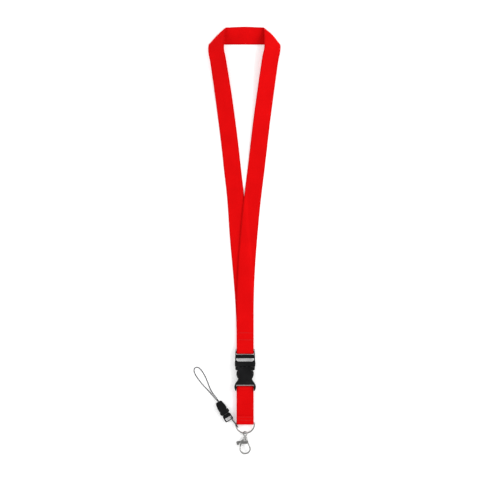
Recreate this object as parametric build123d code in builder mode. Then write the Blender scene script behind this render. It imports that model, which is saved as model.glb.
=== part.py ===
from build123d import *
import os
from math import cos, pi, radians, sin, tan

# A neck lanyard lying flat on a table: webbing loop, side-release buckle, short strap,
# D-ring, swivel hook, and a phone string on its own small buckle.
# Millimetres. +X right, +Y towards the neck loop, +Z up. The table is z = 0.

os.makedirs("parts", exist_ok=True)

# ---- driving dimensions -------------------------------------------------------------

WEB_WIDTH = 19.8          # polyester webbing, 20 mm nominal
WEB_THICK = 1.0
BAR_RADIUS = 1.2          # moulded bars that the webbing turns round
SLIP = 0.05               # radial running clearance on bars, pins and shanks

BUCKLE_Z = 4.0            # middle plane of the large buckle
TAIL_Z = 2.6              # middle plane of the D-ring and the hook
MINI_Z = 2.4              # middle plane of the phone string's buckle

PLUG_BAR_Y = -129.3       # bar that carries the neck strap
SOCKET_BAR_Y = -170.4     # bar that carries the short strap
RING_BAR_Y = -211.4       # straight side of the D-ring
RING_WIRE = 0.9           # radii of the metal wires
EYE_WIRE = 0.65
HOOK_WIRE = 0.95
RING_ARC = 10.9           # centreline radius of the D-ring's round side
RING_CORNER = 1.0

SLOT_HALF = 10.2          # half width of the webbing slots
LOOP_OUTER = BAR_RADIUS + SLIP + WEB_THICK

MINI_ORIGIN = (-17.8, -208.5)     # outer end of the small plug, on its centre line
MINI_ANGLE = 121.7                # direction of the small buckle in degrees from +X
CORD = 0.5                        # radius of the phone cord and the tether
TETHER_AT_RING = (-8.5, -216.0)   # where the tether passes through the D-ring

# Each leg of the neck strap as (x, y) along its centre, from the corner fold down.
LEFT_LEG = [(-30.8, 209.4), (-27.1, 186.2), (-20.8, 139.8), (-11.7, 58.6), (-5.2, -22.6),
            (-1.4, -69.0), (0, -118.0)]
RIGHT_LEG = [(29.9, 209.4), (26.4, 186.2), (19.9, 139.8), (9.9, 58.6), (2.1, -22.6),
             (0.2, -69.0), (0, -118.0)]
FOLD_OUTER = (40.4, 222.3)        # ends of the fold's rolling axis, on the right side
FOLD_INNER = (23.2, 244.2)
FOLD_INSIDE = 0.6                 # inner radius of the soft corner fold

# The route of the phone cord, out of the small socket, round its tip and back.
PHONE_ROUTE = [(-33.4, -184.6, 2.1), (-36.2, -181.3, 1.2), (-39.7, -177.3, 0.6),
               (-44.6, -172.1, 0.55), (-49.7, -166.6, 0.55), (-54.1, -161.0, 0.55),
               (-57.8, -155.5, 0.55), (-59.4, -151.4, 0.6), (-58.7, -147.8, 0.55),
               (-55.4, -146.4, 0.6), (-52.2, -148.5, 0.55), (-49.1, -152.5, 0.6),
               (-46.1, -157.8, 0.55), (-43.5, -163.8, 0.55), (-41.3, -170.2, 0.6),
               (-38.5, -175.7, 0.6), (-35.2, -180.0, 1.2), (-32.4, -183.5, 2.1)]


def write(piece, name):
    """Label a finished piece and write it."""
    piece.label = name
    export_step(piece, f"parts/{name}.step")


def ply(left_edge, right_edge, underside):
    """One ply of webbing between two plan edges, with its underside given as (y, z)."""
    top = [(y, z + WEB_THICK) for y, z in reversed(underside)]
    with BuildPart() as strip:
        with BuildSketch():
            with BuildLine():
                Polyline(*left_edge, *reversed(right_edge), close=True)
            make_face()
        extrude(amount=12)
        with BuildSketch(Plane.YZ):
            with BuildLine():
                Polyline(*underside, *top, close=True)
            make_face()
        extrude(amount=60, both=True, mode=Mode.INTERSECT)
    return strip.part


def beside(centre, offset):
    """The plan edge that runs offset to the right of a centre line."""
    return [(x + offset, y) for x, y in centre]


def cord_tube(points, radius, tightest):
    """A cord along straight runs joined by the largest arcs that the runs allow."""
    nodes = [Vector(*p) for p in points]
    radii = []
    for before, here, after in zip(nodes, nodes[1:], nodes[2:]):
        turn = (here - before).get_angle(after - here)
        run = min((here - before).length, (after - here).length)
        radii.append(max(tightest, 0.45 * run / tan(radians(turn / 2))))
    with BuildPart() as tube:
        with BuildLine():
            route = FilletPolyline(*points, radius=radii)
        with BuildSketch(Plane(route @ 0, z_dir=route % 0)):
            Circle(radius)
        sweep()
    ratio = tube.part.volume / (route.length * pi * radius * radius)
    print(f"cord {route.length:.1f} mm, volume ratio {ratio:.3f}, radii", [round(r, 1) for r in radii])
    return tube.part


# ---- neck strap: band across the back, two corner folds, two legs, loop round the bar ----

FOLD_OUTSIDE = FOLD_INSIDE + WEB_THICK
LEG_Z = FOLD_OUTSIDE + FOLD_INSIDE        # underside of a leg where it leaves the fold
half = WEB_WIDTH / 2
right_corner = [FOLD_OUTER, FOLD_INNER]
left_corner = [(-x, y) for x, y in right_corner]

left_leg = ply(
    [left_corner[0]] + beside(LEFT_LEG, -half),
    [left_corner[1]] + beside(LEFT_LEG, half),
    [(250, LEG_Z), (215, LEG_Z), (190, 0), (-60, 0), (-90, 1.0), (-112, 1.7), (-119, 1.7)],
)
right_leg = ply(
    [right_corner[1]] + beside(RIGHT_LEG, -half),
    [right_corner[0]] + beside(RIGHT_LEG, half),
    [(250, LEG_Z), (215, LEG_Z), (190, 0), (85, 0), (62, WEB_THICK), (-60, WEB_THICK),
     (-90, 2.0), (-118, 2.8)],
)
loop_top = BUCKLE_Z + LOOP_OUTER - WEB_THICK
front_ply = ply(
    [(-half, -117.5), (-half, PLUG_BAR_Y)],
    [(half, -117.5), (half, PLUG_BAR_Y)],
    [(-117.5, 2.8), (PLUG_BAR_Y + 3, loop_top - 0.3), (PLUG_BAR_Y, loop_top)],
)
tail_ply = ply(
    [(-half, -98), (-half, PLUG_BAR_Y)],
    [(half, -98), (half, PLUG_BAR_Y)],
    [(-98, 0), (-112, 0.3), (PLUG_BAR_Y + 3, 1.5), (PLUG_BAR_Y, BUCKLE_Z - LOOP_OUTER)],
)

with BuildPart() as neck_strap:
    add(left_leg)
    add(right_leg)
    add(front_ply)
    add(tail_ply)
    with BuildSketch():
        with BuildLine():
            Polyline(left_corner[0], left_corner[1], (0, 247.9), right_corner[1], right_corner[0],
                     (24, 228.0), (0, 228.8), (-24, 228.0), close=True)
        make_face()
    extrude(amount=WEB_THICK)
    for side in (-1, 1):
        start = Vector(side * FOLD_OUTER[0], FOLD_OUTER[1], FOLD_OUTSIDE)
        along = Vector(side * FOLD_INNER[0], FOLD_INNER[1], FOLD_OUTSIDE) - start
        outward = Vector(side * along.Y, abs(along.X), 0)
        with BuildSketch(Plane(start, x_dir=outward, z_dir=along)):
            Circle(FOLD_OUTSIDE)
            Circle(FOLD_INSIDE, mode=Mode.SUBTRACT)
            with Locations((-FOLD_OUTSIDE / 2, 0)):
                Rectangle(FOLD_OUTSIDE, 4 * FOLD_OUTSIDE, mode=Mode.SUBTRACT)
        extrude(amount=along.length)
    with BuildSketch(Plane.YZ) as bar_loop:
        with Locations((PLUG_BAR_Y, BUCKLE_Z)):
            Circle(LOOP_OUTER)
            Circle(LOOP_OUTER - WEB_THICK, mode=Mode.SUBTRACT)
        with Locations((PLUG_BAR_Y + LOOP_OUTER / 2, BUCKLE_Z)):
            Rectangle(LOOP_OUTER, 2 * LOOP_OUTER, mode=Mode.SUBTRACT)
    extrude(amount=half, both=True)
write(neck_strap.part, "neck_strap")

# Two rows of thread across the three plies where the ends meet.
STITCH = (1.7, 0.4)
with BuildPart() as neck_strap_stitching:
    for row in (-107.0, -115.0):
        with BuildSketch(Plane.XY.offset(0.1)):
            with GridLocations(2.3, 1, 8, 1), Locations((0, row)):
                Rectangle(*STITCH)
        extrude(amount=4.0)
write(neck_strap_stitching.part, "neck_strap_stitching")

# ---- large buckle, plug half: ladder frame, flange and centre guide ----------------------

FLANGE_END_Y = -145.9
MOUTH_Y = -146.3

with BuildPart() as buckle_plug:
    with BuildSketch(Plane.XY.offset(BUCKLE_Z - 2.6)):
        with BuildLine():
            Polyline((0, -125.5), (10.9, -125.5), (11.3, -131.0), (11.5, -137.0), (11.5, -139.0),
                     (12.0, -141.5), (0, -141.5))
            mirror(about=Plane.YZ)
        make_face()
        with Locations((0, -128.0)):
            Rectangle(2 * SLOT_HALF, 8.4, mode=Mode.SUBTRACT)
        with BuildLine():
            Polyline((0, -136.3), (SLOT_HALF - 0.4, -136.3), (SLOT_HALF, -136.7), (SLOT_HALF, -138.4),
                     (SLOT_HALF - 1.7, -140.1), (0, -140.1))
            mirror(about=Plane.YZ)
        make_face(mode=Mode.SUBTRACT)
    extrude(amount=5.2)
    fillet(buckle_plug.edges().group_by(Axis.Z)[-1], 0.3)
    fillet(buckle_plug.edges().group_by(Axis.Z)[0], 0.3)
    with BuildSketch(Plane.YZ.offset(-SLOT_HALF - 0.2)):
        with Locations((PLUG_BAR_Y, BUCKLE_Z)):
            Circle(BAR_RADIUS)
    extrude(amount=2 * SLOT_HALF + 0.4)
    with BuildSketch(Plane.XY.offset(BUCKLE_Z - 3.7)) as flange:
        with BuildLine():
            Polyline((0, -140.5), (11.3, -140.5), (12.0, -142.0), (11.9, -144.5), (11.5, FLANGE_END_Y),
                     (0, FLANGE_END_Y))
            mirror(about=Plane.YZ)
        make_face()
        fillet(flange.vertices(), 0.5)
    extrude(amount=7.4)
    fillet(buckle_plug.faces().sort_by(Axis.Z)[-1].edges(), 0.8)
    fillet(buckle_plug.faces().sort_by(Axis.Z)[0].edges(), 0.8)
    with BuildSketch(Plane.XY.offset(BUCKLE_Z - 1.6)) as guide:
        with Locations((0, (FLANGE_END_Y - 162.5) / 2)):
            RectangleRounded(2.8, 162.5 + FLANGE_END_Y + 1.4, 0.6)
    extrude(amount=3.2)
write(buckle_plug.part, "buckle_plug")


def plug_arm(side):
    """A springy arm of the plug with its release pad, on the left (-1) or right (1)."""
    with BuildPart() as arm:
        with BuildSketch(Plane.XY.offset(BUCKLE_Z - 1.9)):
            with BuildLine():
                Polyline((side * 3.4, FLANGE_END_Y), (side * 6.2, FLANGE_END_Y), (side * 6.9, -150.6),
                         (side * 9.3, -150.6))
                ThreePointArc((side * 9.3, -150.6), (side * 10.1, -154.4), (side * 8.6, -159.3))
                Polyline((side * 8.6, -159.3), (side * 7.4, -159.9), (side * 6.3, -158.4),
                         (side * 5.0, -150.8), (side * 3.4, FLANGE_END_Y))
            make_face()
        extrude(amount=3.8)
        fillet(arm.edges().filter_by(GeomType.CIRCLE), 0.6)
    return arm.part


write(plug_arm(-1), "buckle_plug_arm_left")
write(plug_arm(1), "buckle_plug_arm_right")

# ---- large buckle, socket half: hollow shell with side windows, wings and a bar -----------

with BuildPart() as buckle_socket:
    with BuildSketch():
        with BuildLine():
            Polyline((0, MOUTH_Y), (11.3, MOUTH_Y), (11.3, -148.6), (10.7, -150.1), (8.5, -150.1))
            Spline((8.5, -150.1), (8.7, -154.5), (8.2, -160.4), (10.6, -164.6), (12.3, -168.0),
                   (12.4, -169.6), tangents=((0, -1), (-0.1, -1)))
            ThreePointArc((12.4, -169.6), (12.0, -171.9), (11.0, -174.0))
            Line((11.0, -174.0), (0, -174.0))
            mirror(about=Plane.YZ)
        make_face()
    extrude(amount=2 * BUCKLE_Z)
    fillet(buckle_socket.faces().sort_by(Axis.Z)[-1].edges(), 0.5)
    fillet(buckle_socket.faces().sort_by(Axis.Z)[0].edges(), 0.5)
    with BuildSketch(Plane.XY):
        with Locations((0, -171.0)):
            Rectangle(2 * SLOT_HALF, 8.2)
    extrude(amount=2 * BUCKLE_Z, mode=Mode.SUBTRACT)
    with BuildSketch(Plane.XY.offset(BUCKLE_Z - 2.3)):
        with Locations((0, (MOUTH_Y - 164.5) / 2)):
            Rectangle(15.6, 164.5 + MOUTH_Y)
        with Locations((0, -155.3)):
            Rectangle(30, 9.8)
    extrude(amount=4.6, mode=Mode.SUBTRACT)
    with BuildSketch(Plane.YZ.offset(-SLOT_HALF - 0.3)):
        with Locations((SOCKET_BAR_Y, BUCKLE_Z)):
            Circle(BAR_RADIUS)
    extrude(amount=2 * SLOT_HALF + 0.6)
write(buckle_socket.part, "buckle_socket")

# ---- short strap between the socket's bar and the D-ring ---------------------------------

RING_LOOP = RING_WIRE + SLIP + WEB_THICK

with BuildPart() as short_strap:
    with BuildSketch(Plane.YZ):
        with Locations((SOCKET_BAR_Y, BUCKLE_Z)):
            Circle(LOOP_OUTER)
        with Locations((RING_BAR_Y, TAIL_Z)):
            Circle(RING_LOOP)
        with BuildLine():
            Polyline((SOCKET_BAR_Y - 1.0, BUCKLE_Z + 1.7), (SOCKET_BAR_Y - 5.0, BUCKLE_Z + 0.9),
                     (RING_BAR_Y + 5.0, TAIL_Z + 1.1), (RING_BAR_Y + 1.0, TAIL_Z + 1.5),
                     (RING_BAR_Y + 1.0, TAIL_Z - 1.5), (RING_BAR_Y + 5.0, TAIL_Z - 1.1),
                     (SOCKET_BAR_Y - 5.0, BUCKLE_Z - 1.3), (SOCKET_BAR_Y - 1.0, BUCKLE_Z - 1.7),
                     close=True)
        make_face()
        with Locations((SOCKET_BAR_Y, BUCKLE_Z)):
            Circle(LOOP_OUTER - WEB_THICK, mode=Mode.SUBTRACT)
        with Locations((RING_BAR_Y, TAIL_Z)):
            Circle(RING_LOOP - WEB_THICK, mode=Mode.SUBTRACT)
    extrude(amount=half, both=True)
write(short_strap.part, "short_strap")

with BuildPart() as short_strap_stitching:
    for row, height in ((-206.8, TAIL_Z - 1.3), (-203.0, TAIL_Z - 1.2), (-176.5, BUCKLE_Z - 1.8)):
        with BuildSketch(Plane.XY.offset(height)):
            with GridLocations(2.3, 1, 8, 1), Locations((0, row)):
                Rectangle(*STITCH)
        extrude(amount=2.9)
write(short_strap_stitching.part, "short_strap_stitching")

# ---- D-ring ------------------------------------------------------------------------------

RING_ARC_Y = RING_BAR_Y - RING_CORNER      # centre of the round side
with BuildPart() as d_ring:
    with BuildLine(Plane.XY.offset(TAIL_Z)) as ring_path:
        Line((0, RING_BAR_Y), (RING_ARC - RING_CORNER, RING_BAR_Y))
        ThreePointArc((RING_ARC - RING_CORNER, RING_BAR_Y),
                      (RING_ARC - RING_CORNER + RING_CORNER * sin(radians(45)),
                       RING_ARC_Y + RING_CORNER * cos(radians(45))), (RING_ARC, RING_ARC_Y))
        ThreePointArc((RING_ARC, RING_ARC_Y), (0, RING_ARC_Y - RING_ARC), (-RING_ARC, RING_ARC_Y))
        ThreePointArc((-RING_ARC, RING_ARC_Y),
                      (-RING_ARC + RING_CORNER - RING_CORNER * sin(radians(45)),
                       RING_ARC_Y + RING_CORNER * cos(radians(45))),
                      (RING_CORNER - RING_ARC, RING_BAR_Y))
        Line((RING_CORNER - RING_ARC, RING_BAR_Y), (0, RING_BAR_Y))
    with BuildSketch(Plane((0, RING_BAR_Y, TAIL_Z), z_dir=(1, 0, 0))):
        Circle(RING_WIRE)
    sweep()
write(d_ring.part, "d_ring")

# ---- swivel hook: eye with riveted shank, cast body, gate, gate pin and spring ------------

RING_BOTTOM_Y = RING_ARC_Y - RING_ARC
EYE_RADIUS = 2.7
EYE_Y = RING_BOTTOM_Y - 0.6
EYE_TURN = radians(48)           # the eye's plane leans this far from the ring's wire
SHANK = 1.1
COLLAR_TOP_Y = -227.7
COLLAR_END_Y = -232.4

with BuildPart() as hook_eye:
    with BuildSketch(Plane((EYE_RADIUS * sin(EYE_TURN), EYE_Y, TAIL_Z + EYE_RADIUS * cos(EYE_TURN)),
                           z_dir=(0, 1, 0))) as eye_wire:
        Circle(EYE_WIRE)
    revolve(axis=Axis((0, EYE_Y, TAIL_Z), (-cos(EYE_TURN), 0, sin(EYE_TURN))))
    with BuildSketch(Plane((0, EYE_Y - EYE_RADIUS, TAIL_Z), z_dir=(0, -1, 0))):
        Circle(SHANK)
    extrude(amount=EYE_Y - EYE_RADIUS - COLLAR_END_Y + 0.4)
    with BuildSketch(Plane((0, COLLAR_END_Y - 0.3, TAIL_Z), z_dir=(0, -1, 0))):
        Circle(1.6)
    extrude(amount=0.9)
    fillet(hook_eye.edges().filter_by(GeomType.CIRCLE).sort_by(Axis.Y)[0], 0.4)
write(hook_eye.part, "hook_eye")

HOOK_Y = -241.1                  # centre of the hook's round end
HOOK_RADIUS = 5.85
PIVOT = (-3.7, -233.7)           # the gate's pin
PIN = 0.6

with BuildPart() as hook_body:
    with BuildSketch(Plane.XY.offset(TAIL_Z - 2.0)) as shoulder:
        with BuildLine():
            Polyline((-2.3, -229.6), (2.3, -229.6), (3.6, -232.6), (3.9, -235.0), (1.8, -235.6),
                     (-3.0, -235.6), (-5.4, -234.8), (-5.4, -232.6), close=True)
        make_face()
        fillet(shoulder.vertices(), 0.5)
    extrude(amount=4.0)
    fillet(hook_body.faces().sort_by(Axis.Z)[-1].edges(), 0.45)
    fillet(hook_body.faces().sort_by(Axis.Z)[0].edges(), 0.45)
    with BuildLine(Plane.XY.offset(TAIL_Z), mode=Mode.PRIVATE):
        spine = TangentArc((HOOK_RADIUS, HOOK_Y), (2.6, -233.8), tangent=(0, 1))
        bowl = JernArc(start=spine @ 0, tangent=(0, -1), radius=HOOK_RADIUS, arc_size=-194)
    with BuildSketch(Plane(bowl @ 1, z_dir=bowl % 1)):
        Circle(HOOK_WIRE)
    sweep(path=bowl)
    with BuildSketch(Plane(spine @ 0, z_dir=spine % 0)):
        Circle(HOOK_WIRE)
    sweep(path=spine)
    with BuildSketch(Plane((0, COLLAR_TOP_Y, TAIL_Z), z_dir=(0, -1, 0))):
        Circle(2.5)
    extrude(amount=COLLAR_TOP_Y - COLLAR_END_Y)
    with BuildSketch(Plane((0, COLLAR_TOP_Y, TAIL_Z), z_dir=(0, -1, 0))):
        Circle(SHANK + SLIP)
    extrude(amount=COLLAR_TOP_Y - COLLAR_END_Y, mode=Mode.SUBTRACT)
    with BuildSketch(Plane((0, COLLAR_END_Y, TAIL_Z), z_dir=(0, -1, 0))):
        Circle(1.85)
    extrude(amount=4.0, mode=Mode.SUBTRACT)
    with BuildSketch(Plane.XY.offset(TAIL_Z - 0.95)):
        with Locations((PIVOT[0] - 0.2, PIVOT[1] - 0.4)):
            Rectangle(4.4, 4.2)
    extrude(amount=1.9, mode=Mode.SUBTRACT)
    with BuildSketch(Plane.XY):
        with Locations(PIVOT):
            Circle(PIN)
    extrude(amount=6, mode=Mode.SUBTRACT)
write(hook_body.part, "hook_body")

with BuildPart() as hook_gate:
    with BuildSketch(Plane.XY.offset(TAIL_Z - 0.75)) as plate:
        with Locations(PIVOT):
            Circle(1.5)
        with BuildLine():
            Polyline((-5.1, -233.9), (-6.0, -236.4), (-6.4, -238.9), (-5.0, -238.9), (-4.3, -236.2),
                     (-2.4, -234.3), close=True)
        make_face()
        with BuildLine():
            Polyline((-3.9, -232.4), (-5.8, -232.0), (-9.6, -232.6), (-10.2, -233.4), (-9.6, -236.4),
                     (-8.8, -237.0), (-6.9, -236.4), (-6.5, -234.9), (-4.2, -234.7), close=True)
        make_face()
    extrude(amount=1.5)
    with BuildSketch(Plane.XY):
        with Locations(PIVOT):
            Circle(PIN + SLIP)
    extrude(amount=6, mode=Mode.SUBTRACT)
    with BuildSketch(Plane.XY.offset(TAIL_Z - 0.05)):
        with Locations(PIVOT):
            Circle(1.15)
    extrude(amount=1, mode=Mode.SUBTRACT)
write(hook_gate.part, "hook_gate")

with BuildPart() as hook_gate_pin:
    with BuildSketch(Plane.XY.offset(TAIL_Z - 2.2)):
        with Locations(PIVOT):
            Circle(1.0)
    extrude(amount=0.2)
    with BuildSketch(Plane.XY.offset(TAIL_Z - 2.1)):
        with Locations(PIVOT):
            Circle(PIN)
    extrude(amount=4.2)
    with BuildSketch(Plane.XY.offset(TAIL_Z + 2.0)):
        with Locations(PIVOT):
            Circle(1.0)
    extrude(amount=0.2)
write(hook_gate_pin.part, "hook_gate_pin")

SPRING_WIRE = 0.13
with BuildPart() as hook_gate_spring:
    with BuildLine():
        coil = Helix(pitch=0.3, height=0.36, radius=0.88, center=(*PIVOT, TAIL_Z + 0.14))
    with BuildSketch(Plane(coil @ 0, z_dir=coil % 0)):
        Circle(SPRING_WIRE)
    sweep()
write(hook_gate_spring.part, "hook_gate_spring")

# ---- phone string: tether loop, small buckle, thin cord -----------------------------------

mini_axis = Vector(cos(radians(MINI_ANGLE)), sin(radians(MINI_ANGLE)), 0)
mini_side = Vector(sin(radians(MINI_ANGLE)), -cos(radians(MINI_ANGLE)), 0)


def mini_plane(height):
    """The small buckle's own plane: x across it, y along it from the plug to the cord."""
    return Plane((*MINI_ORIGIN, height), x_dir=mini_side, z_dir=(0, 0, 1))


def mini_point(across, along, height):
    """A place on the small buckle in the part's frame."""
    place = Vector(*MINI_ORIGIN, height) + mini_side * across + mini_axis * along
    return (place.X, place.Y, place.Z)


with BuildPart() as mini_plug:
    with BuildSketch(mini_plane(MINI_Z - 1.2)) as frame:
        with Locations((0, 2.6)):
            RectangleRounded(10.0, 5.2, 0.6)
        with Locations((0, 2.65)):
            RectangleRounded(7.2, 3.5, 0.3, mode=Mode.SUBTRACT)
    extrude(amount=2.4)
    with BuildSketch(mini_plane(MINI_Z - 2.0)) as base:
        with BuildLine():
            Polyline((-5.0, 4.5), (5.0, 4.5), (5.0, 6.6), (4.3, 8.4), (-4.3, 8.4), (-5.0, 6.6), close=True)
        make_face()
        fillet(base.vertices(), 0.4)
    extrude(amount=4.0)
    fillet(mini_plug.faces().sort_by(Axis.Z)[-1].edges(), 0.5)
    fillet(mini_plug.faces().sort_by(Axis.Z)[0].edges(), 0.5)
    with BuildSketch(mini_plane(MINI_Z - 0.9)):
        with Locations((0, 12.0)):
            Rectangle(1.3, 8.6)
    extrude(amount=1.8)
write(mini_plug.part, "mini_plug")


def mini_arm(side):
    """A springy arm of the small plug with its ribbed pad."""
    with BuildPart() as arm:
        with BuildSketch(mini_plane(MINI_Z - 1.0)):
            with BuildLine():
                Polyline((side * 1.6, 8.4), (side * 3.2, 8.4), (side * 3.6, 9.7), (side * 5.4, 9.7))
                ThreePointArc((side * 5.4, 9.7), (side * 5.7, 11.6), (side * 5.0, 13.9))
                Polyline((side * 5.0, 13.9), (side * 3.9, 13.9), (side * 2.4, 10.2), (side * 1.6, 8.4))
            make_face()
        extrude(amount=2.0)
    return arm.part


write(mini_arm(-1), "mini_plug_arm_left")
write(mini_arm(1), "mini_plug_arm_right")

with BuildPart() as mini_socket:
    with BuildSketch(mini_plane(MINI_Z - 2.35)) as shell:
        with BuildLine():
            Polyline((0, 8.8), (4.4, 8.8), (4.4, 14.3), (5.1, 14.9), (5.1, 18.2), (4.1, 23.2))
            ThreePointArc((4.1, 23.2), (3.5, 24.7), (2.2, 25.4))
            Line((2.2, 25.4), (0, 25.4))
            mirror(about=Plane.YZ)
        make_face()
    extrude(amount=4.7)
    fillet(mini_socket.faces().sort_by(Axis.Z)[-1].edges(), 0.7)
    fillet(mini_socket.faces().sort_by(Axis.Z)[0].edges(), 0.7)
    with BuildSketch(mini_plane(MINI_Z - 1.25)):
        with Locations((0, 13.0)):
            Rectangle(8.0, 9.0)
        with Locations((0, 11.9)):
            Rectangle(12.0, 4.6)
        with Locations((0, 21.4)):
            Rectangle(4.4, 4.2)
    extrude(amount=2.5, mode=Mode.SUBTRACT)
    with BuildSketch(Plane(mini_point(0, 23.4, MINI_Z), x_dir=mini_side, z_dir=mini_axis)):
        SlotOverall(2.7, 1.3)
    extrude(amount=3, mode=Mode.SUBTRACT)
write(mini_socket.part, "mini_socket")

inside_left = mini_point(-0.66, 22.6, MINI_Z)
inside_right = mini_point(0.66, 22.6, MINI_Z)
gate_left = mini_point(-0.68, 26.4, MINI_Z)
gate_right = mini_point(0.68, 26.4, MINI_Z)
phone_cord = cord_tube([inside_left, gate_left, *PHONE_ROUTE, gate_right, inside_right], CORD, 0.3)
write(phone_cord, "phone_cord")

with BuildPart() as phone_cord_knot:
    with BuildSketch(mini_plane(MINI_Z - 1.05)):
        with Locations((0, 21.6)):
            RectangleRounded(3.6, 2.2, 0.9)
    extrude(amount=2.1)
    fillet(phone_cord_knot.edges().group_by(Axis.Z)[-1], 0.7)
    fillet(phone_cord_knot.edges().group_by(Axis.Z)[0], 0.7)
write(phone_cord_knot.part, "phone_cord_knot")

# The tether runs above and below the D-ring's wire and the small plug's frame.
TETHER_TOP = 4.9
TETHER_BOTTOM = 0.6
window = mini_point(2.7, 2.05, 0)
KNOT = (-10.1, -213.9, TETHER_TOP)
tether_cord = cord_tube(
    [KNOT, (window[0], window[1], TETHER_TOP), (window[0], window[1], TETHER_BOTTOM),
     (*TETHER_AT_RING, TETHER_BOTTOM), (*TETHER_AT_RING, TETHER_TOP), (-9.7, -214.4, TETHER_TOP)],
    CORD, 0.4)
write(tether_cord, "tether_cord")

with BuildPart() as tether_knot:
    with Locations(KNOT):
        Sphere(1.15)
write(tether_knot.part, "tether_knot")
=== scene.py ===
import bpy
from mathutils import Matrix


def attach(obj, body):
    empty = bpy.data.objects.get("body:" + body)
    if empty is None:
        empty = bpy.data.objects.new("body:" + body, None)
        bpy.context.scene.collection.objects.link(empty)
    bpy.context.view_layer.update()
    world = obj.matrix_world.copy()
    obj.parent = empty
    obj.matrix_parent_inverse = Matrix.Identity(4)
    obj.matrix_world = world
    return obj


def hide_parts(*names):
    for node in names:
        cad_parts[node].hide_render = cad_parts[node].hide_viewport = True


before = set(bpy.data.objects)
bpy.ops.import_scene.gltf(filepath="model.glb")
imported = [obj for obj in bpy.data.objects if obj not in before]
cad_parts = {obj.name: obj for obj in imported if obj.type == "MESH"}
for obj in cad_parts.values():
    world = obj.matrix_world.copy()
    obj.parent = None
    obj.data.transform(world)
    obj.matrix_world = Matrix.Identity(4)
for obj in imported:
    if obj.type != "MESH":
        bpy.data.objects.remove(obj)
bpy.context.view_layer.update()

import math

import bpy
import numpy as np

# A neck lanyard lying flat on a table: +X right, +Y towards the neck loop, +Z up, table at
# z = 0. Webbing and stitches are worked out in millimetres, and cords are routed in metres.

MM = 0.001
WEB_HALF = 9.9            # half the webbing's width
PLY_HALF = 0.5            # half its thickness
PLY_STEP = 1.12           # from the middle of one ply to the next on top of it
CORD_RADIUS = 0.5
BRAID_LAY = 1.6           # from one strand of a braided cord to the next, along the cord
STRANDS = 3               # strands that run each way round it
TURN = 2 * math.pi


# ---- camera ---------------------------------------------------------------------------

CAMERA_HEIGHT = 2.5
VIEW_WIDTH = 0.5568       # metres of table across the picture
VIEW_MIDDLE = (-0.0059, 0.0006)

camera_data = bpy.data.cameras.new("camera")
camera_data.sensor_width = 36.0
camera_data.lens = camera_data.sensor_width * CAMERA_HEIGHT / VIEW_WIDTH
camera = bpy.data.objects.new("camera", camera_data)
camera.location = (*VIEW_MIDDLE, CAMERA_HEIGHT)
bpy.context.scene.collection.objects.link(camera)
bpy.context.scene.camera = camera


# ---- shader maths ---------------------------------------------------------------------

class Wire:
    """A socket of a material's nodes, used in sums and products as a number is."""

    def __init__(self, tree, socket=None):
        self.tree = tree
        self.socket = socket

    def node(self, kind, settings=None, sockets=None, out=0):
        """Adds a node: its settings first, then the values or links of its sockets."""
        made = self.tree.nodes.new("ShaderNode" + kind)
        for key, value in (settings or {}).items():
            setattr(made, key, value)
        for key, value in (sockets or {}).items():
            if isinstance(value, Wire):
                self.tree.links.new(value.socket, made.inputs[key])
            else:
                made.inputs[key].default_value = value
        return Wire(self.tree, made.outputs[out] if made.outputs else None)

    def maths(self, operation, *terms):
        return self.node("Math", {"operation": operation}, dict(enumerate(terms)))

    def __add__(self, other):
        return self.maths("ADD", self, other)

    def __sub__(self, other):
        return self.maths("SUBTRACT", self, other)

    def __rsub__(self, other):
        return self.maths("SUBTRACT", other, self)

    def __mul__(self, other):
        return self.maths("MULTIPLY", self, other)

    def __abs__(self):
        return self.maths("ABSOLUTE", self)

    def sine(self):
        return self.maths("SINE", self)

    def axes(self):
        """The three numbers of a vector socket."""
        apart = self.node("SeparateXYZ", None, {0: self})
        made = apart.socket.node
        return [Wire(self.tree, made.outputs[k]) for k in range(3)]

    def mixed(self, colour_a, colour_b):
        """Colour A where this is 0 and colour B where it is 1."""
        return self.node("Mix", {"data_type": "RGBA"}, {0: self, 6: colour_a, 7: colour_b}, 2)

    def ranged(self, low, high, to_low=0.0, to_high=1.0):
        """This value, carried from low..high to another range and held at its ends."""
        return self.node("MapRange", {"clamp": True},
                         {0: self, 1: low, 2: high, 3: to_low, 4: to_high})

    def noise(self, scale, detail=2.0, roughness=0.5):
        """Cloudy noise read at this place."""
        return self.node("TexNoise", None, {"Vector": self, "Scale": scale, "Detail": detail,
                                            "Roughness": roughness})


def colour(red, green, blue):
    return (red, green, blue, 1.0)


def finish(name, paint):
    """A material whose sockets come from paint(root), as {socket name: value or link}."""
    material = bpy.data.materials.new(name)
    material.use_nodes = True
    tree = material.node_tree
    tree.nodes.clear()
    root = Wire(tree)
    shader = root.node("BsdfPrincipled", None, paint(root))
    root.node("OutputMaterial", None, {"Surface": shader})
    return material


def object_place(root):
    """The place on the piece, in its own metres."""
    return root.node("TexCoord", None, None, 3)


def bumped(root, height, strength, distance):
    return root.node("Bump", None, {"Height": height, "Strength": strength, "Distance": distance})


RIB_WAVE = 0.0022         # metres across the webbing from one raised rib to the next but one
PICK_WAVE = 0.0014        # metres along it from one pick to the next but one
CORD_LINE = 0.0090        # metres from the webbing's middle to the line beside its selvedge
# metres from the webbing's middle over which its selvedges darken: painted shade at the rolled
# edges
SELVEDGE_SHADE = (0.0084, 0.0099)
THREAD_LAY = 0.0006       # metres along a thread for one twist


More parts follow.
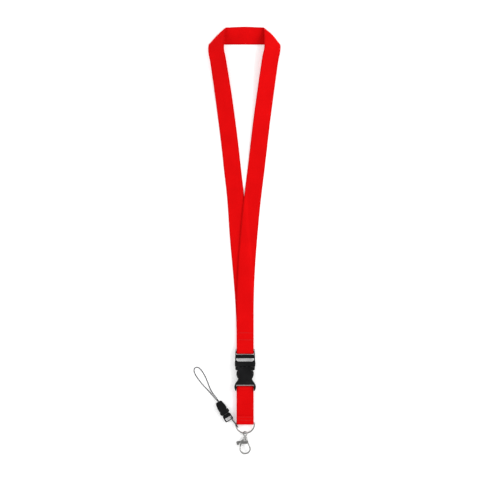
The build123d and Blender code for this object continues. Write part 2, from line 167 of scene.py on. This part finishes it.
def webbing_paint(root):
    """Red polyester webbing. The map's x runs along the strap and y across it, in metres.
    Lengthwise ribs cross fine picks, and every other one of each is set back."""
    along, across, _ = root.node("UVMap", {"uv_map": "weave"}).axes()
    rib = (across * (TURN / RIB_WAVE)).sine()
    pick = (along * (TURN / PICK_WAVE)).sine()
    weave = rib * pick * 0.5 + 0.5
    # painted shade: a mask that grows towards each selvedge, where the rolled edge turns from the
    # light
    edge_shade = abs(across).ranged(*SELVEDGE_SHADE)
    cord_line = 1 - abs(abs(across) - CORD_LINE).ranged(0, 0.0003)
    here = object_place(root)
    cloud = here.noise(38.0, 3.0)
    fibre = here.noise(2600.0, 2.0)
    thread_tone = weave * 0.45 + cloud * 0.4 + fibre * 0.25
    red = thread_tone.ranged(0.25, 0.85).mixed(colour(0.50, 0.0005, 0.001),
                                               colour(0.74, 0.0018, 0.0025))
    # painted shade: the selvedges are mixed towards a darker red, and the sunken line beside each
    # is darkened a little
    red = (edge_shade * 0.65 + cord_line * 0.12).mixed(red, colour(0.40, 0.0007, 0.0012))
    height = weave * 0.75 + fibre * 0.35 - cord_line * 0.5
    return {"Base Color": red, "Roughness": thread_tone.ranged(0.2, 0.9, 0.86, 0.70),
            "Sheen Weight": 0.01, "Sheen Roughness": 0.45, "Specular IOR Level": 0.04,
            "Normal": bumped(root, height, 0.55, 0.00022)}


def thread_paint(root):
    """Red sewing thread, its two strands twisted round each other."""
    x, y, z = object_place(root).axes()
    twist = ((x + y * 0.8 + z) * (TURN / THREAD_LAY)).sine() * 0.5 + 0.5
    return {"Base Color": twist.mixed(colour(0.30, 0.0005, 0.001), colour(0.60, 0.003, 0.004)),
            "Roughness": 0.52, "Normal": bumped(root, twist, 0.4, 0.00008)}


def plastic_paint(root):
    """Black moulded acetal: a fine spark-eroded grain, with faint flow marks and rubbing."""
    here = object_place(root)
    grain = here.noise(3200.0, 2.0)
    flow_mark = here.noise(95.0, 3.0)
    rubbed = here.noise(420.0, 4.0, 0.62).ranged(0.60, 0.74)
    black = flow_mark.ranged(0.3, 0.75).mixed(colour(0.0030, 0.0031, 0.0034),
                                              colour(0.0065, 0.0067, 0.0072))
    black = (rubbed * 0.35).mixed(black, colour(0.018, 0.0185, 0.0195))
    rough = flow_mark.ranged(0.3, 0.8, 0.34, 0.46) + rubbed * 0.12
    return {"Base Color": black, "Roughness": rough, "Specular IOR Level": 0.14,
            "Normal": bumped(root, grain, 0.22, 0.00006)}


def nickel_paint(root):
    """Nickel plate on die-cast zinc: bright, a little warm, with cast waviness and fine wear."""
    here = object_place(root)
    cast = here.noise(240.0, 2.0)
    wear = here.noise(1500.0, 4.0, 0.6)
    bright = (wear.ranged(0.45, 0.7) * 0.5 + cast * 0.3)
    return {"Base Color": bright.mixed(colour(0.37, 0.366, 0.358), colour(0.25, 0.247, 0.242)),
            "Metallic": 1.0, "Roughness": wear.ranged(0.3, 0.75, 0.24, 0.42),
            "Normal": bumped(root, cast * 0.8 + wear * 0.2, 0.12, 0.00008)}


def spring_paint(root):
    """Drawn spring wire, a little darker than the plate."""
    drawn = object_place(root).noise(2400.0, 2.0)
    return {"Base Color": drawn.mixed(colour(0.34, 0.335, 0.33), colour(0.60, 0.59, 0.58)),
            "Metallic": 1.0, "Roughness": drawn.ranged(0.3, 0.7, 0.26, 0.42),
            "Normal": bumped(root, drawn, 0.15, 0.00003)}


def braid_paint(root):
    """Braided black cord. The map's x runs along it in metres and y once round it from 0 to 1.
    Two families of strands cross, and the grey flecks are where one lies over the other."""
    along, around, _ = root.node("UVMap", {"uv_map": "weave"}).axes()
    lay = along * (TURN / (BRAID_LAY * MM))
    one = (lay + around * (TURN * STRANDS)).sine()
    other = (lay - around * (TURN * STRANDS)).sine()
    strand = one * other * 0.5 + 0.5
    fibre = object_place(root).noise(5200.0, 2.0)
    tone = (strand * 0.7 + fibre * 0.4).ranged(0.35, 0.95)
    return {"Base Color": tone.mixed(colour(0.012, 0.012, 0.014), colour(0.105, 0.105, 0.115)),
            "Roughness": tone.ranged(0.0, 1.0, 0.82, 0.62), "Specular IOR Level": 0.3,
            "Normal": bumped(root, strand, 0.5, 0.00010)}


def paper_paint(root):
    """A pale, almost even table top."""
    soft = object_place(root).noise(5.0, 2.0)
    return {"Base Color": soft.mixed(colour(0.93, 0.93, 0.93), colour(0.95, 0.95, 0.95)),
            "Roughness": 0.9, "Specular IOR Level": 0.15,
            "Emission Color": colour(1.0, 1.0, 1.0), "Emission Strength": 0.2}


webbing = finish("red_webbing", webbing_paint)
thread = finish("red_thread", thread_paint)
plastic = finish("black_moulded_plastic", plastic_paint)
nickel = finish("nickel_plate", nickel_paint)
spring_steel = finish("spring_steel", spring_paint)
braid = finish("black_braid", braid_paint)
paper = finish("table_top", paper_paint)


# ---- making meshes --------------------------------------------------------------------

def piece(name, points, uv, material, body):
    """A closed skin over a grid of rings. points is (rings, places round a ring, 3) in
    millimetres, uv is (rings, places + 1, 2), and each end ring is closed with one face."""
    rings, around = points.shape[:2]
    i, j = np.meshgrid(np.arange(rings - 1), np.arange(around), indexing="ij")
    i, j = i.ravel(), j.ravel()
    steps = np.array([[0, 0], [1, 0], [1, 1], [0, 1]])
    ring = i[:, None] + steps[:, 0]
    spot = j[:, None] + steps[:, 1]
    quads = ring * around + spot % around
    maps = uv[ring, spot]
    corner = points.reshape(-1, 3)[quads]
    volume = np.einsum("ij,ij->i", corner[:, 0],
                       np.cross(corner[:, 1] - corner[:, 0], corner[:, 2] - corner[:, 0])).sum()
    first = list(range(around))
    last = [(rings - 1) * around + k for k in range(around)]
    ends = [first, last[::-1]]
    end_maps = [uv[0, :-1], uv[-1, :-1][::-1]]
    if volume < 0:
        quads, maps = quads[:, ::-1], maps[:, ::-1]
        ends = [end[::-1] for end in ends]
        end_maps = [m[::-1] for m in end_maps]
    mesh = bpy.data.meshes.new(name)
    mesh.from_pydata((points.reshape(-1, 3) * MM).tolist(), [], quads.tolist() + ends)
    layer = mesh.uv_layers.new(name="weave")
    flat = np.concatenate([maps.reshape(-1, 2), *end_maps])
    layer.data.foreach_set("uv", flat.astype(np.float32).ravel())
    smooth = np.ones(len(mesh.polygons), bool)
    smooth[-2:] = False
    mesh.polygons.foreach_set("use_smooth", smooth)
    mesh.update()
    return place_piece(name, mesh, material, body)


def place_piece(name, mesh, material, body):
    """Puts a mesh in the scene, where it rides on its body."""
    made = bpy.data.objects.new(name, mesh)
    bpy.context.scene.collection.objects.link(made)
    mesh.materials.append(material)
    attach(made, body)
    return made


def smooth(t):
    """0 below 0, 1 above 1, and 3t^2 - 2t^3 between."""
    t = np.clip(t, 0.0, 1.0)
    return t * t * (3 - 2 * t)


def flow(knots, places, s):
    """A smooth line through places at knots: a cubic on each span, whose slope at a knot is
    that of the parabola through it and its two neighbours, or at an end of the chord."""
    slope = np.gradient(places, knots, axis=0)
    i = np.clip(np.searchsorted(knots, s, side="right") - 1, 0, len(knots) - 2)
    span = (knots[i + 1] - knots[i])[..., None]
    t = (s - knots[i])[..., None] / span
    return ((1 + 2 * t) * (1 - t) ** 2 * places[i] + t * (1 - t) ** 2 * span * slope[i]
            + t * t * (3 - 2 * t) * places[i + 1] - t * t * (1 - t) * span * slope[i + 1])


def distances(places):
    """How far along a line each of its places is."""
    return np.concatenate([[0], np.cumsum(np.linalg.norm(np.diff(places, axis=0), axis=1))])


def turn(centre, radius, start, stop, count):
    """Places on an arc in the YZ plane: y = cy + r cos t, z = cz + r sin t."""
    t = np.radians(np.linspace(start, stop, count))
    return np.stack([centre[0] + radius * np.cos(t), centre[1] + radius * np.sin(t)], axis=-1)


# ---- cords ----------------------------------------------------------------------------

SPLINE_STEPS = 32
PHONE_STEP = 0.00022      # metres from one ring of a cord's skin to the next
TETHER_STEP = 0.00018
BRAID_SIDES = 16
BRAID_RELIEF = 0.07       # how far the strands stand up, as a share of the radius


def spline_points(name, route, step):
    """Even points along the smooth line that the route's points control."""
    data = bpy.data.curves.new(name, "CURVE")
    data.dimensions = "3D"
    data.resolution_u = SPLINE_STEPS
    spline = data.splines.new("NURBS")
    spline.points.add(len(route) - 1)
    spline.points.foreach_set("co", [x for p in route for x in (*p, 1.0)])
    spline.order_u = 3
    spline.use_endpoint_u = True
    line = bpy.data.objects.new(name, data)
    mesh = bpy.data.meshes.new_from_object(line)
    raw = np.empty(len(mesh.vertices) * 3)
    mesh.vertices.foreach_get("co", raw)
    raw = raw.reshape(-1, 3)
    bpy.data.objects.remove(line)
    bpy.data.meshes.remove(mesh)
    bpy.data.curves.remove(data)
    far = distances(raw)
    keep = np.concatenate([[True], np.diff(far) > 1e-9])
    raw, far = raw[keep], far[keep]
    s = np.linspace(0, far[-1], int(far[-1] / step) + 1)
    return np.stack([np.interp(s, far, raw[:, k]) for k in range(3)], axis=-1)


def braided(name, path, upright, radius, body):
    """A braided tube: radius r (1 + relief sin(a) sin(b)), where a and b run round the cord
    opposite ways as they run along it, so the strands stand up as diamonds."""
    path = path / MM
    s = distances(path)
    ahead = np.gradient(path, s, axis=0)
    ahead /= np.linalg.norm(ahead, axis=1)[:, None]
    side = np.cross(ahead, upright)
    side /= np.linalg.norm(side, axis=1)[:, None]
    up = np.cross(side, ahead)
    t = np.linspace(0, 1, BRAID_SIDES + 1)
    angle = TURN * t[None, :-1]
    lay = (TURN / BRAID_LAY) * s[:, None]
    relief = 1 + (BRAID_RELIEF * np.sin(lay + STRANDS * angle)
                  * np.sin(lay - STRANDS * angle))
    ends = np.minimum(s, s[-1] - s)[:, None]
    tip = np.sqrt(np.clip(1 - (1 - np.clip(ends / (0.6 * radius), 0, 1)) ** 2, 0.02, 1))
    r = (radius * relief * tip)[..., None]
    points = (path[:, None] + r * (np.cos(angle)[..., None] * side[:, None]
                                   + np.sin(angle)[..., None] * up[:, None]))
    uv = np.stack(np.broadcast_arrays(s[:, None] * MM, t[None]), axis=-1)
    return piece(name, points, uv, braid, body)


# The phone cord leaves the small socket, goes round its tip and comes back.
phone_route = [(-0.029118, -0.189619, 0.0024), (-0.031222, -0.186235, 0.0024),
               (-0.0334, -0.1846, 0.0021), (-0.0362, -0.1813, 0.0012), (-0.0397, -0.1773, 0.0006),
               (-0.0446, -0.1721, 0.00055), (-0.0497, -0.1666, 0.00055),
               (-0.0541, -0.1610, 0.00055), (-0.0578, -0.1555, 0.00055),
               (-0.0594, -0.1514, 0.0006), (-0.0587, -0.1478, 0.00055),
               (-0.0554, -0.1464, 0.0006), (-0.0522, -0.1485, 0.00055),
               (-0.0491, -0.1525, 0.0006), (-0.0461, -0.1578, 0.00055),
               (-0.0435, -0.1638, 0.00055), (-0.0413, -0.1702, 0.0006),
               (-0.0385, -0.1757, 0.0006), (-0.0352, -0.1800, 0.0012),
               (-0.0324, -0.1835, 0.0021), (-0.031094, -0.185681, 0.0024),
               (-0.029114, -0.188925, 0.0024)]

# The tether goes round the D-ring's wire and through the window of the small plug.
tether_route = [(-0.0101, -0.2139, 0.0049), (-0.01679, -0.205067, 0.0051),
                (-0.01679, -0.205067, 0.0006), (-0.0082, -0.2164, 0.0006),
                (-0.0082, -0.2164, 0.0051), (-0.0097, -0.2144, 0.0049)]

phone_path = spline_points("phone_route", phone_route, PHONE_STEP)
phone_cord = braided("phone_cord_braid", phone_path, (0, 0, 1), CORD_RADIUS, "small_socket")
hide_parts("phone_cord")

tether_path = spline_points("tether_route", tether_route, TETHER_STEP)
TETHER_SIDE = (0.797, 0.604, 0)     # level, and square to the tether's run
tether_cord = braided("tether_braid", tether_path, TETHER_SIDE, CORD_RADIUS, "tether")
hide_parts("tether_cord")


def knot(name, centre, size, radius, body):
    """An overhand knot pulled tight: the trefoil (sin t + 2 sin 2t, cos t - 2 cos 2t,
    -1.15 sin 3t), a closed run whose two end rings meet."""
    t = np.linspace(0.02, TURN + 0.02, 180)
    line = np.stack([np.sin(t) + 2 * np.sin(2 * t), np.cos(t) - 2 * np.cos(2 * t),
                     -1.15 * np.sin(3 * t)], axis=-1) * size
    return braided(name, (line + np.array(centre)) * MM, (0.12, 0.18, 0.97), radius, body)


tether_knot = knot("tether_knot_tied", (-10.1, -213.9, 4.9), 0.30, 0.36, "tether")
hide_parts("tether_knot")


# ---- webbing --------------------------------------------------------------------------

FLAT_PLACES = 15          # places across each flat face of a ply
SEAL = 0.5                # the heat-cut end thins over this length
SEAL_THIN = 0.35          # to this share of the thickness


def ring_of_ply():
    """Places round the webbing's section as (across, above the middle): two flat faces
    joined by a half round at each selvedge."""
    flats = np.linspace(WEB_HALF - PLY_HALF, PLY_HALF - WEB_HALF, FLAT_PLACES)
    bend = np.radians(np.linspace(90, 270, 7)[1:-1])
    left = np.stack([PLY_HALF - WEB_HALF + PLY_HALF * np.cos(bend), PLY_HALF * np.sin(bend)])
    top = np.stack([flats, np.full(FLAT_PLACES, PLY_HALF)])
    return np.concatenate([top, left, -top, -left], axis=1)


def woven(name, surface, s, body):
    """Webbing over surface(s, v), its middle layer. The section's places go out from it along
    the surface's normal, which is the cross product of its two slopes."""
    across, above = ring_of_ply()
    grid_s, grid_v = np.broadcast_arrays(s[:, None], across[None])
    step = 0.02           # half the stretch that a slope is measured over
    ds = surface(grid_s + step, grid_v) - surface(grid_s - step, grid_v)
    dv = surface(grid_s, grid_v + step) - surface(grid_s, grid_v - step)
    normal = np.cross(ds, dv)
    normal /= np.linalg.norm(normal, axis=-1)[..., None]
    sealed = np.clip(np.minimum(s - s[0], s[-1] - s) / SEAL, SEAL_THIN, 1)[:, None]
    points = surface(grid_s, grid_v) + (above[None] * sealed)[..., None] * normal
    wide = np.concatenate([across, across[:1]])
    uv = np.stack(np.broadcast_arrays(s[:, None] * MM, wide[None] * MM), axis=-1)
    return piece(name, points, uv, webbing, body)


# A leg of the neck strap as (x, y, height of the middle layer, tilt in degrees that raises
# its inner edge). The last rows are where the two legs lie on each other at the buckle.
LEFT_LEG = [(-32.3, 232.0, 3.7, 19), (-33.5, 223.3, 6.9, 19), (-32.8, 216.5, 7.3, 19),
            (-31.5, 209.4, 7.0, 19), (-27.8, 186.2, 4.8, 15), (-24.4, 163.0, 2.8, 9),
            (-21.3, 139.8, 1.7, 6), (-17.0, 105.0, 1.15, 3.3), (-14.3, 80.0, 0.8, 1.2),
            (-11.8, 58.6, 0.5, 0), (-7.5, 0.6, 0.5, 0), (-3.3, -45.8, 0.5, 0),
            (-1.5, -70.0, 0.55, 0), (-0.4, -92.0, 1.48, 0), (0.0, -110.0, 1.68, 0),
            (0.0, -118.0, 2.02, 0)]
RIGHT_LEG = [(30.7, 232.0, 4.3, 14), (31.3, 223.3, 6.8, 14), (30.3, 216.5, 7.4, 14),
             (29.1, 209.4, 7.3, 14), (25.7, 186.2, 5.4, 12), (22.5, 163.0, 3.7, 9),
             (19.4, 139.8, 2.8, 6), (15.3, 105.0, 2.25, 3.3), (12.4, 80.0, 1.9, 1.2),
             (9.7, 58.6, 1.62, 0), (4.0, 0.6, 1.62, 0), (0.9, -45.8, 1.62, 0),
             (0.1, -70.0, 1.67, 0), (0.0, -92.0, 2.60, 0), (0.0, -110.0, 2.80, 0),
             (0.0, -117.5, 3.14, 0), (0.0, -123.0, 4.37, 0)]
PLUG_LOOP = np.concatenate([turn((-129.3, 4.0), 1.75, 77, 263.5, 11),
                            [(-123.5, 1.58), (-117.5, 0.95), (-110.0, 0.62), (-98.0, 0.55)]])
LEG_START = 7.0           # how far past the corner's middle a leg's first row is
CORNER_Y = 237.1          # the middle of the band, where it folds
FOLD_RADIUS = 1.0         # of the roll at a fold
BLEND_START = 8.0         # past the corner's middle, where the fold starts to become the leg
BLEND_LENGTH = 20.0
BULGE_HALF = 16.0         # half the length of the fold that bulges out
BULGE_EDGE = 1.5          # past the fold, where the bulge is whole
BULGE_DEPTH = 6.0         # how fast it fades towards the band
BAND_BOW = 0.9            # how far the band bows up between its corners
BOW_HALF = 28.0           # from the band's middle to where the bow ends
BOW_FOOT = 227.0          # the band's lower edge, which stays straight
BOW_HEIGHT = 20.0         # from there to its upper edge, which bows the most
SQUARE = math.sqrt(0.5)   # the fold runs at 45 degrees to the band
FOLD_LINE = np.array([SQUARE, -SQUARE, 0.0])
FOLD_OUT = np.array([SQUARE, SQUARE, 0.0])
UPWARD = np.array([0.0, 0.0, 1.0])


class Half:
    """One half of the neck strap, from the middle of the band outwards and down its leg."""

    def __init__(self, mirror, corner_x, rise, bulge, leg, loop=None):
        self.mirror = np.array([mirror, 1.0, 1.0])
        self.corner = np.array([corner_x, CORNER_Y, PLY_HALF])
        self.rise = math.radians(rise)
        self.bulge = bulge
        rows = np.array(leg, float)
        rows[:, 0] *= mirror
        if loop is not None:
            extra = np.zeros((len(loop), 4))
            extra[:, 1:3] = loop
            rows = np.concatenate([rows, extra])
        self.rows = rows
        self.knots = corner_x + LEG_START + distances(rows[:, :3])
        self.length = self.knots[-1]

    def corner_form(self, s, v):
        """The band reaches the fold at 45 degrees, goes nearly half round a roll of radius R,
        and comes back on top, rising gently. a is the distance past the fold and b along it:
        a < 0 is flat; 0 to phi R is the roll; beyond, a plane leaves at angle phi."""
        phi = math.pi - self.rise
        past = s - self.corner[0]
        a = ((past + v) * SQUARE)[..., None]
        b = ((past - v) * SQUARE)[..., None]
        bend = np.clip(a / FOLD_RADIUS, 0, phi)
        out = np.minimum(a, 0) + FOLD_RADIUS * np.sin(bend)
        up = FOLD_RADIUS * (1 - np.cos(bend))
        free = np.maximum(a - phi * FOLD_RADIUS, 0)
        out = out + free * math.cos(phi)
        up = up + free * math.sin(phi)
        return self.corner + b * FOLD_LINE + out * FOLD_OUT + up * UPWARD

    def leg_form(self, s, v):
        """The leg along its rows: the middle line, and a width that lies across it and tilts."""
        row = flow(self.knots, self.rows, s)
        near = flow(self.knots, self.rows, s + 0.05) - flow(self.knots, self.rows, s - 0.05)
        lean = -near[..., 0] / np.maximum(np.abs(near[..., 1]), 1e-3)
        tilt = np.radians(row[..., 3])
        reach = v * np.cos(tilt) / np.sqrt(1 + lean ** 2)
        return row[..., :3] + np.stack([-reach, reach * lean, v * np.sin(tilt)], axis=-1)

    def __call__(self, s, v):
        s, v = np.broadcast_arrays(s, v)
        joined = smooth((s - self.corner[0] - BLEND_START) / BLEND_LENGTH)[..., None]
        p = (1 - joined) * self.corner_form(s, v) + joined * self.leg_form(s, v)
        return self.eased(p) * self.mirror

    def eased(self, p):
        """Softens the plan: the roll bulges out between its ends, and the band bows up a
        little between its corners."""
        away = p - self.corner
        b = away @ FOLD_LINE
        d = away @ FOLD_OUT
        bulge = self.bulge * np.clip(1 - (b / BULGE_HALF) ** 2, 0, 1) ** 2
        bulge = bulge * np.exp(-(np.minimum(d - BULGE_EDGE, 0) / BULGE_DEPTH) ** 2)
        p = p + bulge[..., None] * FOLD_OUT
        upper = smooth((p[..., 1] - BOW_FOOT) / BOW_HEIGHT)
        bow = BAND_BOW * (1 - smooth(np.abs(p[..., 0]) / BOW_HALF)) * upper
        p[..., 1] += bow
        return p


left_half = Half(-1.0, 30.3, 34.0, 0.7, LEFT_LEG)
right_half = Half(1.0, 29.0, 27.0, 1.5, RIGHT_LEG, PLUG_LOOP)
left_edge_y = left_half.rows[::-1, 1]
left_edge_x = -left_half.rows[::-1, 0] + WEB_HALF
SLOPE_DOWN = 4.0          # over this width the right leg comes down beside the left one
JOIN_Y = -100.0           # below here the two legs stay on each other
JOIN_EASE = 15.0


def neck_surface(s, v):
    """The whole strap: s runs from the left leg's end through the band's middle at 0. Where
    the right leg isn't over the left one, it comes down by one ply to lie on the table."""
    s, v = np.broadcast_arrays(s, v)
    p = np.where((s < 0)[..., None], left_half(np.abs(s), v), right_half(np.abs(s), v))
    beside = p[..., 0] - np.interp(p[..., 1], left_edge_y, left_edge_x)
    bare = smooth(beside / SLOPE_DOWN) * smooth((p[..., 1] - JOIN_Y) / JOIN_EASE)
    on_leg = smooth((s - right_half.corner[0] - BLEND_START) / BLEND_LENGTH)
    p[..., 2] -= PLY_STEP * bare * on_leg
    return p


# The rings of its skin lie closer together over the corners and round the plug's bar.
CLOSE = 50                # from the band's middle, and from the strap's end
neck_rows = np.concatenate([
    np.arange(-left_half.length, -CLOSE, 1.0), np.arange(-CLOSE, CLOSE, 0.5),
    np.arange(CLOSE, right_half.length - CLOSE, 1.0),
    np.linspace(right_half.length - CLOSE, right_half.length, 110)])
neck = woven("neck_strap_webbing", neck_surface, neck_rows, "strap")
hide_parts("neck_strap")

# The short strap, from the tab on its front, round the D-ring, up its back, round the
# socket's bar and down its front to the end under the tab.
SHORT_LINE = np.concatenate([
    [(-203.2, 4.30), (-205.5, 4.32), (-208.0, 4.33)],
    turn((-211.4, 2.6), 1.45, 84, 278, 11),
    [(-208.0, 1.66), (-205.0, 2.05), (-197.0, 2.43), (-190.0, 2.74), (-182.0, 3.10),
     (-178.0, 3.25), (-174.0, 2.80)],
    turn((-170.4, 4.0), 1.75, 262, 458, 11),
    [(-174.0, 5.18), (-178.0, 4.60), (-184.0, 4.18), (-190.0, 3.88), (-197.0, 3.55),
     (-203.0, 3.24), (-208.5, 3.26)]])
SHORT_STEP = 0.35         # from one ring of its skin to the next
short_knots = distances(SHORT_LINE)


def short_surface(s, v):
    """Both plies as one strip: x is the place across, and y and z follow the line."""
    s, v = np.broadcast_arrays(s, v)
    line = flow(short_knots, SHORT_LINE, s)
    return np.stack([v, line[..., 0], line[..., 1]], axis=-1)


short = woven("short_strap_webbing", short_surface,
              np.linspace(0, short_knots[-1], int(short_knots[-1] / SHORT_STEP)), "tail")
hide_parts("short_strap")


# ---- stitches -------------------------------------------------------------------------

STITCH_RADIUS = 0.24
STITCH_RINGS = 7
STITCH_SIDES = 6


def capsules(name, middles, ahead, up, length, body):
    """One small round-ended rod for each middle: rings of places along it, whose radius goes
    as the square root of 1 - |t|^3, bent down a little at each end."""
    rings, sides, radius = STITCH_RINGS, STITCH_SIDES, STITCH_RADIUS
    t = np.linspace(-1, 1, rings)
    a = TURN * np.arange(sides) / sides
    fat = radius * np.sqrt(np.clip(1 - np.abs(t) ** 3, 0.05, 1))
    along = np.broadcast_to((t * length / 2)[:, None], (rings, sides))
    across = fat[:, None] * np.cos(a)
    above = fat[:, None] * np.sin(a) - 0.7 * radius * (t ** 4)[:, None]
    side = np.cross(up, ahead)
    points = (middles[:, None, None] + along[None, ..., None] * ahead[:, None, None]
              + across[None, ..., None] * side[:, None, None]
              + above[None, ..., None] * up[:, None, None])
    quads = np.array([[i * sides + j, i * sides + (j + 1) % sides,
                       (i + 1) * sides + (j + 1) % sides, (i + 1) * sides + j]
                      for i in range(rings - 1) for j in range(sides)])
    starts = rings * sides * np.arange(len(middles))
    lots = (quads[None] + starts[:, None, None]).reshape(-1, 4).tolist()
    ends = [[int(start) + j for j in reversed(range(sides))] for start in starts]
    ends += [[int(start) + (rings - 1) * sides + j for j in range(sides)] for start in starts]
    mesh = bpy.data.meshes.new(name)
    mesh.from_pydata((points.reshape(-1, 3) * MM).tolist(), [], lots + ends)
    mesh.polygons.foreach_set("use_smooth", np.ones(len(mesh.polygons), bool))
    mesh.update()
    return place_piece(name, mesh, thread, body)


def sewn(surface, s, v, face):
    """Where stitches across the strap lie: at (s, v), on the face that the surface's normal
    comes out of (1) or on the other one (-1)."""
    step = 0.05           # half the stretch that a slope is measured over
    here = surface(s, v)
    ds = surface(s + step, v) - surface(s - step, v)
    dv = surface(s, v + step) - surface(s, v - step)
    normal = np.cross(ds, dv)
    normal /= np.linalg.norm(normal, axis=-1)[..., None]
    ahead = dv / np.linalg.norm(dv, axis=-1)[..., None]
    return here + face * (PLY_HALF + 0.02) * normal, ahead, face * normal


def at_y(surface, low, high, y):
    """The s between low and high where the surface's middle is at this y."""
    s = np.linspace(low, high, 2000)
    return s[np.argmin(np.abs(surface(s, np.zeros(2000))[:, 1] - y))]


SEAM_HALF = 8.2           # from the strap's middle to a seam's outermost stitch


def seam(surface, rows, count, face):
    """Rows of stitches across the strap at these values of s."""
    v = np.linspace(-SEAM_HALF, SEAM_HALF, count)
    s = np.repeat(rows, count)
    return sewn(surface, s, np.tile(v, len(rows)), face)


def joined_lots(*lots):
    """Several seams as one: their places, directions and normals end to end."""
    return [np.concatenate(parts) for parts in zip(*lots)]


NECK_SEAMS = (-107.0, -115.0)       # the y of each row of stitches
NECK_COUNT = 9                      # stitches in a row
strap_end = right_half.length
neck_top = [at_y(neck_surface, strap_end - 90, strap_end - 35, y) for y in NECK_SEAMS]
neck_under = [at_y(neck_surface, strap_end - 28, strap_end, y) for y in NECK_SEAMS]
neck_stitches = capsules("neck_strap_stitches",
                         *joined_lots(seam(neck_surface, neck_top, NECK_COUNT, -1),
                                      seam(neck_surface, neck_under, NECK_COUNT, -1)),
                         1.55, "strap")
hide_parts("neck_strap_stitching")

SHORT_SEAMS = (-204.5, -208.0)
SHORT_COUNT = 10
tab_rows = [at_y(short_surface, 0, 6, y) for y in SHORT_SEAMS]
back_rows = [at_y(short_surface, 10, 30, y) for y in SHORT_SEAMS]
short_stitches = capsules("short_strap_stitches",
                          *joined_lots(seam(short_surface, tab_rows, SHORT_COUNT, 1),
                                       seam(short_surface, back_rows, SHORT_COUNT, 1)),
                          1.4, "tail")
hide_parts("short_strap_stitching")


# ---- finishes of the moulded and metal parts --------------------------------------------

FINISHES = [
    (plastic, ["buckle_plug", "buckle_plug_arm_left", "buckle_plug_arm_right", "buckle_socket",
               "mini_plug", "mini_plug_arm_left", "mini_plug_arm_right", "mini_socket",
               "phone_cord_knot"]),
    (nickel, ["d_ring", "hook_eye", "hook_body", "hook_gate", "hook_gate_pin"]),
    (spring_steel, ["hook_gate_spring"]),
]
for material, names in FINISHES:
    for name in names:
        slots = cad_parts[name].data.materials
        slots.clear()
        slots.append(material)


# ---- table and light --------------------------------------------------------------------

TABLE_HALF = 4            # metres
TABLE_DROP = -0.0001      # the table's face, clear of what lies on it

floor_mesh = bpy.data.meshes.new("table")
floor_mesh.from_pydata([(x * TABLE_HALF, y * TABLE_HALF, TABLE_DROP)
                        for x, y in ((-1, -1), (1, -1), (1, 1), (-1, 1))], [], [(0, 1, 2, 3)])
floor_mesh.materials.append(paper)
floor = bpy.data.objects.new("table", floor_mesh)
bpy.context.scene.collection.objects.link(floor)


def lamp(name, location, size, power):
    """A square soft light that faces the origin."""
    data = bpy.data.lights.new(name, "AREA")
    data.size = size
    data.energy = power
    made = bpy.data.objects.new(name, data)
    way = -np.array(location, float)
    made.location = location
    made.rotation_euler = (math.atan2(math.hypot(way[0], way[1]), -way[2]), 0,
                           math.atan2(way[1], way[0]) - math.pi / 2)
    bpy.context.scene.collection.objects.link(made)


lamp("key", (1.5, 0.3, 1.0), 1.1, 22)
lamp("fill", (-1.5, -0.2, 1.1), 1.2, 9)

# The room: bright towards the horizon all round and dim overhead.
world = bpy.data.worlds.new("studio")
world.use_nodes = True
world.node_tree.nodes.clear()
room = Wire(world.node_tree)
height = room.node("TexCoord").axes()[2]
glow = height.ranged(0.35, 0.95).mixed(colour(1.0, 1.0, 1.0), colour(0.30, 0.30, 0.30))
room.node("OutputWorld", None,
          {"Surface": room.node("Background", None, {"Color": glow, "Strength": 1.35})})
bpy.context.scene.world = world
bpy.context.scene.view_settings.view_transform = "Standard"
